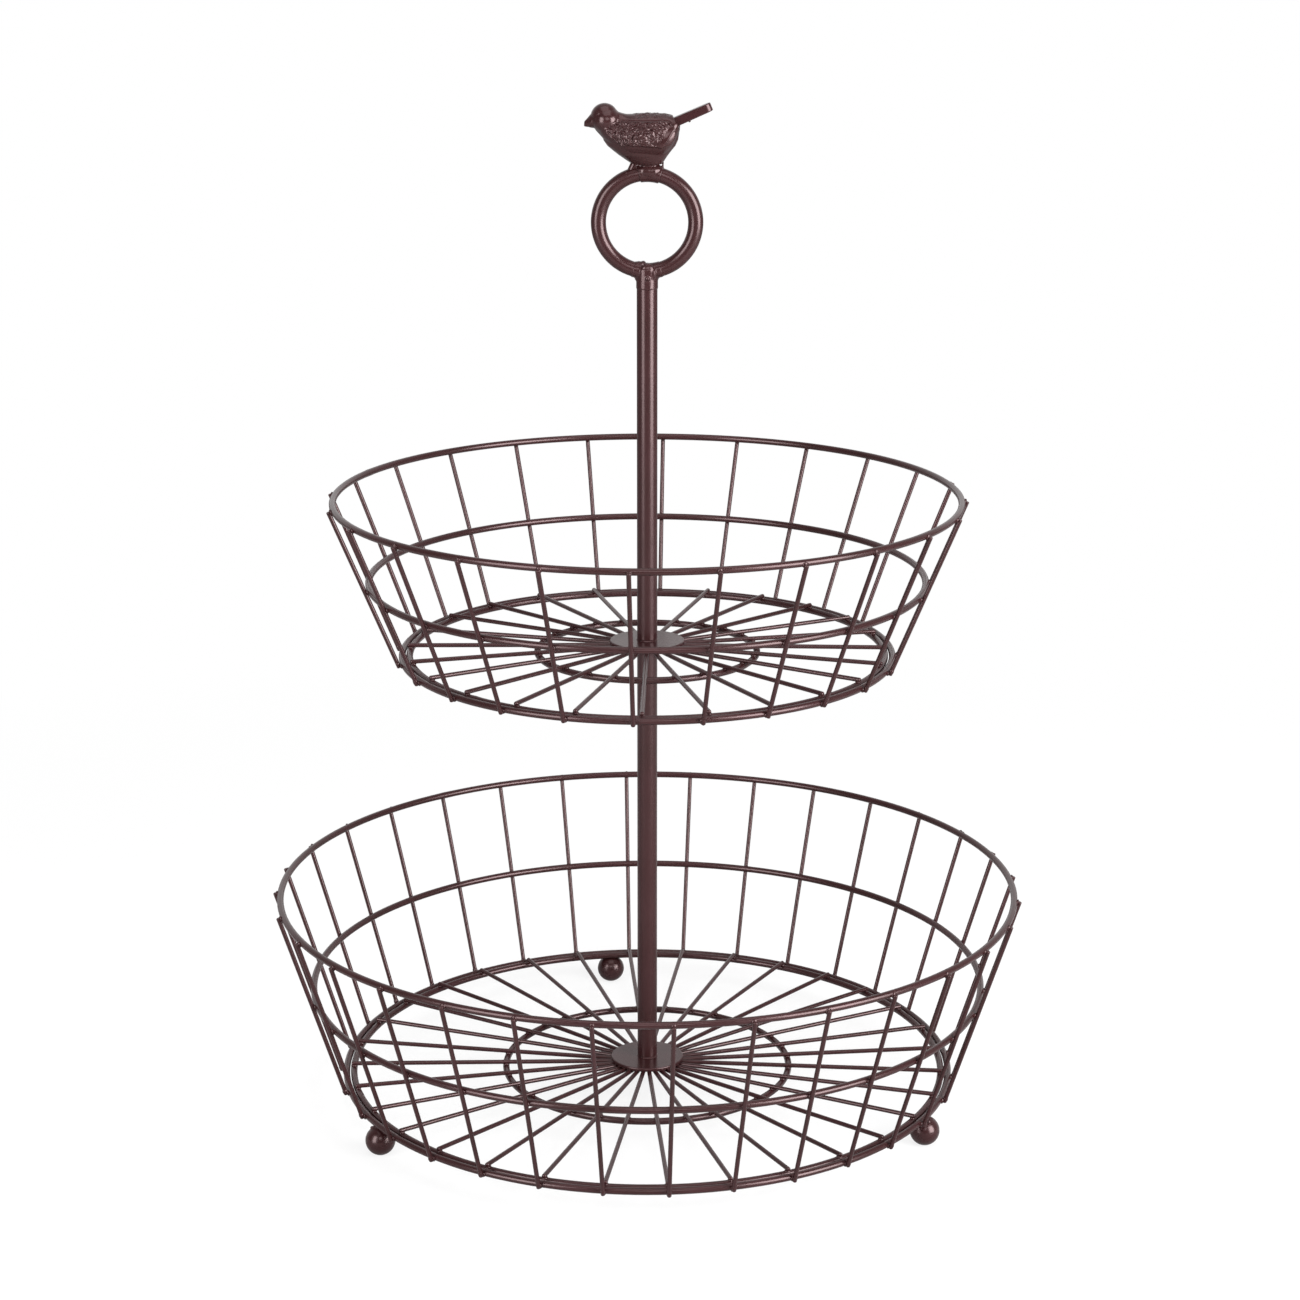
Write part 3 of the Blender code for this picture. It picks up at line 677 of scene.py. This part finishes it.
def featherRise(x, side, z, facing):  # how far the surface stands out at a place on the bird, in millimetres
    rise = 0.0
    edges = between(birdLook["wing"], x)
    if edges:
        rise += wingRise(x, side, z, edges, easeIn(facing * birdLook["flankEase"]))
    for spotX, spotZ, reach, depth in birdLook["hollows"]:
        rise -= depth * math.exp(-((x - spotX) ** 2 + (z - spotZ) ** 2) / reach ** 2)
    first, last, foot, ease, lift = birdLook["back"]
    if first < x < last and z > foot:
        ends = easeIn(min(x - first, last - x) / ease) * easeIn((z - foot) / lift)
        size = birdLook["backSize"]
        rise += ends * birdLook["backDepth"] * pebbles(x / size, side / size, birdLook["backPattern"])
    return rise


def smoothBlank():  # the bird's solid made smooth, then stretched back to its own size
    low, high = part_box("bird_finial")
    bm = bmesh.new()
    bm.from_mesh(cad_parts["bird_finial"].data)
    bmesh.ops.remove_doubles(bm, verts=bm.verts, dist=closeBy)
    flat, square = birdLook["joinAngles"]
    bmesh.ops.join_triangles(bm, faces=bm.faces, angle_face_threshold=flat, angle_shape_threshold=square)
    bm = modified(bm, ("SUBSURF", {"levels": 2, "render_levels": 2}))
    sides = [[vert.co[axis] for vert in bm.verts] for axis in range(3)]
    size = Vector([(high[a] - low[a]) / (max(sides[a]) - min(sides[a])) for a in range(3)])
    middle = Vector([(max(side) + min(side)) / 2 for side in sides])
    fit = Matrix.Translation((low + high) / 2) @ stretch(*size) @ Matrix.Translation(-middle)
    bmesh.ops.transform(bm, matrix=fit, verts=bm.verts)
    return bm


def roundHead(bm):  # the blank's own head draws back inside a ball, with cheeks beside it
    head = Vector(birdLook["head"]) * mm
    share, reach, face, ease = birdLook["draw"]
    for vert in bm.verts:  # in full within two thirds of the reach
        off = (vert.co - head).length / (reach * mm)
        behind = easeIn((vert.co.x / mm - face) / ease)
        vert.co += (head - vert.co) * share * behind * easeIn(3 - 3 * off)
    (neckX, neckZ), reach, share = birdLook["narrow"]
    for vert in bm.verts:  # narrower beside the neck, so that the cheeks stand out from it
        off = ((vert.co.x / mm - neckX) ** 2 + (vert.co.z / mm - neckZ) ** 2) / reach ** 2
        vert.co.y *= 1 - share * math.exp(-off)
    addLump(bm, birdLook["head"], (birdLook["headRadius"],) * 3, birdLook["headFacets"])
    addLump(bm, *birdLook["cheeks"], birdLook["headFacets"])


def addBeakAndThroat(bm):
    beak = birdLook["beak"]
    root, tip = [Vector((x, 0, z)) * mm for x, z in (beak["root"], beak["tip"])]
    addRod(bm, root, tip, beak["rootRadius"] * mm, beak["sides"], beak["tipRadius"] * mm)
    addBall(bm, Matrix.Translation(tip), (beak["tipRadius"] * mm,) * 3)
    *ends, radius = birdLook["throat"]
    addRod(bm, *[Vector(end) * mm for end in ends], radius * mm, birdLook["throatFacets"][0])
    for end in ends:
        addLump(bm, end, (radius,) * 3, birdLook["throatFacets"])


def addBelly(bm):  # ovals one above the other, joined into a funnel
    edges = []
    for height, rear, front, half in birdLook["belly"]:
        place = Matrix.Translation(Vector(((rear + front) / 2, 0, height)) * mm)
        size = stretch((front - rear) / 2, half, 1)
        oval = bmesh.ops.create_circle(bm, segments=birdLook["bellySides"], radius=mm, matrix=place @ size)
        edges.extend(dict.fromkeys(edge for vert in oval["verts"] for edge in vert.link_edges))
    bmesh.ops.bridge_loops(bm, edges=edges)
    closeHoles(bm)


def castBird():
    bm = smoothBlank()
    roundHead(bm)
    spot, way = birdLook["tailCut"]  # the flat tail is a piece of its own
    cutAway(bm, Vector(spot) * mm, way)
    addBeakAndThroat(bm)
    addBelly(bm)
    bm = fuse(bm, birdLook["voxel"], birdLook["rounds"])
    bm.normal_update()
    rises = [featherRise(*(vert.co / mm), abs(vert.normal.y)) for vert in bm.verts]
    for vert, rise in zip(bm.verts, rises):
        vert.co += vert.normal * rise * mm
    finishPiece("bird", bm, castCoat, ["bird_finial"], birdLook["sharpAngle"])


def birdTail():  # a flat slab with a rounded tip and crisp edges, run into the body
    width = 2 * birdLook["tailTip"] * mm
    bm = bmesh.new()
    outline = bm.faces.new([bm.verts.new((x * mm, -width / 2, z * mm)) for x, z in birdLook["tail"]])
    far = bmesh.ops.extrude_face_region(bm, geom=[outline])["geom"]
    bmesh.ops.translate(
        bm, verts=[item for item in far if isinstance(item, bmesh.types.BMVert)], vec=(0, width, 0)
    )
    bmesh.ops.recalc_face_normals(bm, faces=bm.faces)
    tip = [edge for edge in bm.edges if all(vert.co.x > birdLook["tipStart"] * mm for vert in edge.verts)]
    corners = [edge for edge in tip if abs(edge.verts[0].co.y - edge.verts[1].co.y) < closeBy]
    bmesh.ops.bevel(
        bm, geom=corners, offset=width * birdLook["tipRound"], offset_type="OFFSET",
        segments=birdLook["tipSteps"], affect="EDGES", profile=0.5, material=-1,
    )
    squeeze = birdLook["tailWidth"] * mm / width
    bmesh.ops.scale(bm, verts=bm.verts, vec=(1, squeeze, 1))
    roundEnds(bm, birdLook["tailRound"] * mm)
    addLump(bm, *birdLook["drip"])
    finishPiece("bird_tail", bm, castCoat, ["bird_finial"])


birdWeld = {
    "saddle": 0.45 * mm, "saddleArc": math.radians(25), "saddleMiddle": math.radians(86.5),
    # rods of weld, each with two ends and a radius, in millimetres: the neck, the web at its left and a
    # thin strand at its right
    "rods": [((1.0, 0.0, 403.5), (1.0, 0.0, 409.0), 3.2), ((-6.9, 0.2, 403.6), (-4.4, 0.2, 409.0), 1.9),
             ((-2.6, 1.0, 404.5), (-2.6, 1.0, 409.0), 2.3), ((6.5, 0.0, 405.0), (6.45, 0.0, 408.8), 0.4)],
    "lumps": [((-7.9, 0.0, 404.1), (2.2, 2.6, 1.3)), ((-3.1, -2.9, 405.4), (0.6, 0.7, 0.9)),
              ((0.8, 0.0, 404.9), (6.5, 4.2, 3.5)), ((6.1, 0.0, 405.7), (1.0, 1.2, 0.8)),
              ((0.5, 0.0, 407.8), (4.3, 4.0, 1.1)),
              ((6.2, 0.0, 408.4), (0.7, 0.9, 0.5)), ((1.9, -3.9, 408.6), (0.6, 0.6, 0.5)),
              ((0.9, 2.2, 406.0), (3.6, 1.4, 2.4))],
    # a pit beside the neck, and the crease that runs down from it: place, reach and depth
    "pits": [((-3.1, -2.6, 407.3), 0.75, 0.9), ((-3.8, -2.8, 404.4), 0.6, 0.5)],
}
castBird()
birdTail()
bm = bmesh.new()
handleArc(bm, birdWeld["saddle"], birdWeld["saddleMiddle"], birdWeld["saddleArc"])
for start, end, radius in birdWeld["rods"]:
    addRod(bm, Vector(start) * mm, Vector(end) * mm, radius * mm, weldLook["rodSides"])
for place, size in birdWeld["lumps"]:
    addLump(bm, place, size, weldLook["lump"])
bm = fuse(bm, weldLook["voxel"], weldLook["rounds"])
bm.normal_update()
for vert in bm.verts:
    for place, reach, depth in birdWeld["pits"]:
        off = (vert.co / mm - Vector(place)).length / reach
        vert.co -= vert.normal * depth * mm * math.exp(-off * off)
finishPiece("bird_weld", bm, castCoat, ["bird_post"])
print("bird made")


# Ball feet, ground flat where they stand
footLook = {
    "across": 40, "down": 28, "flat": 0.35 * mm, "weldVoxel": 0.2 * mm, "weldRounds": 4,
    # weld lumps under the two rings, each a place from the ball's middle (inwards, along the ring, up) and
    # three half sizes, in millimetres
    "welds": [((-0.9, 0.4, 6.1), (1.5, 2.7, 0.9)), ((1.3, -0.3, 6.0), (1.3, 2.2, 0.9)),
              ((-2.6, 2.2, 5.2), (0.9, 1.0, 0.9)), ((0.4, -2.4, 5.9), (0.9, 0.9, 0.8))],
}
footWelds = bmesh.new()
for side in ("back", "left", "right"):
    low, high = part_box("ball_foot_" + side)
    radius = (high.x - low.x) / 2
    centre = Vector(((low.x + high.x) / 2, (low.y + high.y) / 2, low.z + radius - footLook["flat"]))
    bm = bmesh.new()
    addBall(bm, Matrix.Translation(centre), (radius,) * 3, footLook["across"], footLook["down"])
    cutAway(bm, (0, 0, low.z), -upAxis)
    finishPiece("foot_" + side, bm, bronzeCoat, ["ball_foot_" + side])
    inward = -centre.xy.to_3d().normalized()
    ring = axesAt(centre, inward, upAxis.cross(inward))
    for place, size in footLook["welds"]:
        addLump(footWelds, place, size, weldLook["lump"], ring)
footWelds = fuse(footWelds, footLook["weldVoxel"], footLook["weldRounds"])
finishPiece("foot_welds", footWelds, bronzeCoat)
print("feet made")

for name in ("pole_stud", "hub_screw", "hub_washer"):
    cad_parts[name].data.materials.clear()
    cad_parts[name].data.materials.append(zincPlate)


# Camera as in the photograph, a white room and four soft lamps
cameraView = {
    "side": 0.0012, "distance": 1.2243, "height": 0.5366, "pitchDown": 15.29, "lens": 82.33, "farthest": 50,
}
lamps = {  # softboxes as wide and tall as their streaks on the pole
    "right_softbox": {"azimuth": 55, "elevation": 13, "distance": 1.5, "size": (0.95, 1.22), "power": 50},
    "left_softbox": {"azimuth": -45, "elevation": 13, "distance": 1.5, "size": (0.7, 1.25), "power": 24},
    "front_softbox": {"azimuth": 4, "elevation": 28, "distance": 1.5, "size": (0.6, 0.5), "power": 4},
    "top_softbox": {"azimuth": 10, "elevation": 80, "distance": 1.5, "size": (1.2, 1.2), "power": 8},
}
room = {
    "floorSize": 30.0, "floorColour": "#f4f4f4", "floorReflected": "#bababa",
    "nearGlow": 0.78, "fade": (0.2, 0.75),  # the floor glows less round the stand, where it shows the shadows
    "ambient": 0.17, "backdrop": 0.95, "turn": (-0.1, 0.9),  # the wall behind the stand is brighter
}

eye = bpy.data.cameras.new("camera")
eye.lens = cameraView["lens"]
eye.clip_end = cameraView["farthest"]
camera = bpy.data.objects.new("camera", eye)
camera.location = (cameraView["side"], -cameraView["distance"], cameraView["height"])
camera.rotation_euler = (math.radians(90 - cameraView["pitchDown"]), 0, 0)
bpy.context.scene.collection.objects.link(camera)
bpy.context.scene.camera = camera

aim = Vector((0, 0, (cadLow.z + cadHigh.z) / 2))
for name, lamp in lamps.items():
    azimuth, elevation = math.radians(lamp["azimuth"]), math.radians(lamp["elevation"])
    outwards = math.cos(elevation)
    back = Vector((math.sin(azimuth) * outwards, -math.cos(azimuth) * outwards, math.sin(elevation)))
    light = bpy.data.lights.new(name, "AREA")
    light.shape = "RECTANGLE"
    light.size, light.size_y = lamp["size"]
    light.energy = lamp["power"]
    holder = bpy.data.objects.new(name, light)
    holder.location = aim + back * lamp["distance"]
    holder.rotation_euler = back.to_track_quat("Z", "Y").to_euler()
    bpy.context.scene.collection.objects.link(holder)


world = bpy.data.worlds.new("white_room")
bpy.context.scene.world = world
world.use_nodes = True
tree = world.node_tree
seen = addNode(tree, "ShaderNodeLightPath").outputs["Is Camera Ray"]  # 0 in reflections on the stand
heading = addNode(tree, "ShaderNodeTexCoord").outputs["Generated"]
rearward = addNode(tree, "ShaderNodeSeparateXYZ", None, {"Vector": heading}).outputs["Y"]
front, behind = room["turn"]
around = addNode(
    tree, "ShaderNodeMapRange",
    {"From Min": front, "From Max": behind, "To Min": room["ambient"], "To Max": room["backdrop"]},
    {"Value": rearward},
)
level = addNode(tree, "ShaderNodeMath", None, {0: seen, 1: around.outputs["Result"]}, operation="MAXIMUM")
tree.nodes["Background"].inputs["Color"].default_value = (1, 1, 1, 1)
tree.links.new(level.outputs["Value"], tree.nodes["Background"].inputs["Strength"])

bm = bmesh.new()
bmesh.ops.create_grid(bm, x_segments=1, y_segments=1, size=room["floorSize"])
mesh = bpy.data.meshes.new("floor")
bm.to_mesh(mesh)
bm.free()
floor = bpy.data.objects.new("floor", mesh)
bpy.context.scene.collection.objects.link(floor)
paper = bpy.data.materials.new("white_paper")
paper.use_nodes = True
tree = paper.node_tree
tree.nodes.clear()
seen = addNode(tree, "ShaderNodeLightPath").outputs["Is Camera Ray"]
paperColour = addNode(
    tree, "ShaderNodeMix", {mixFrom: linear(room["floorReflected"]), mixTo: linear(room["floorColour"])},
    {0: seen}, data_type="RGBA",
)
matt = addNode(tree, "ShaderNodeBsdfDiffuse", None, {"Color": paperColour.outputs[mixed]})
glow = addNode(tree, "ShaderNodeEmission", {"Color": (1, 1, 1, 1), "Strength": 1.0})
place = addNode(tree, "ShaderNodeTexCoord").outputs["Object"]
away = addNode(tree, "ShaderNodeVectorMath", None, {0: place}, operation="LENGTH").outputs["Value"]
near, far = room["fade"]  # the floor runs out to plain white
fading = addNode(
    tree, "ShaderNodeMapRange", {"From Min": near, "From Max": far, "To Min": room["nearGlow"]}, {"Value": away}
)
share = addNode(tree, "ShaderNodeMath", None, {0: seen, 1: fading.outputs["Result"]}, operation="MULTIPLY")
blend = addNode(
    tree, "ShaderNodeMixShader", None, {0: share.outputs[0], 1: matt.outputs[0], 2: glow.outputs[0]}
)
addNode(tree, "ShaderNodeOutputMaterial", None, {"Surface": blend.outputs[0]})
mesh.materials.append(paper)
bpy.context.scene.view_settings.view_transform = "Standard"
print("camera, lamps and room made")
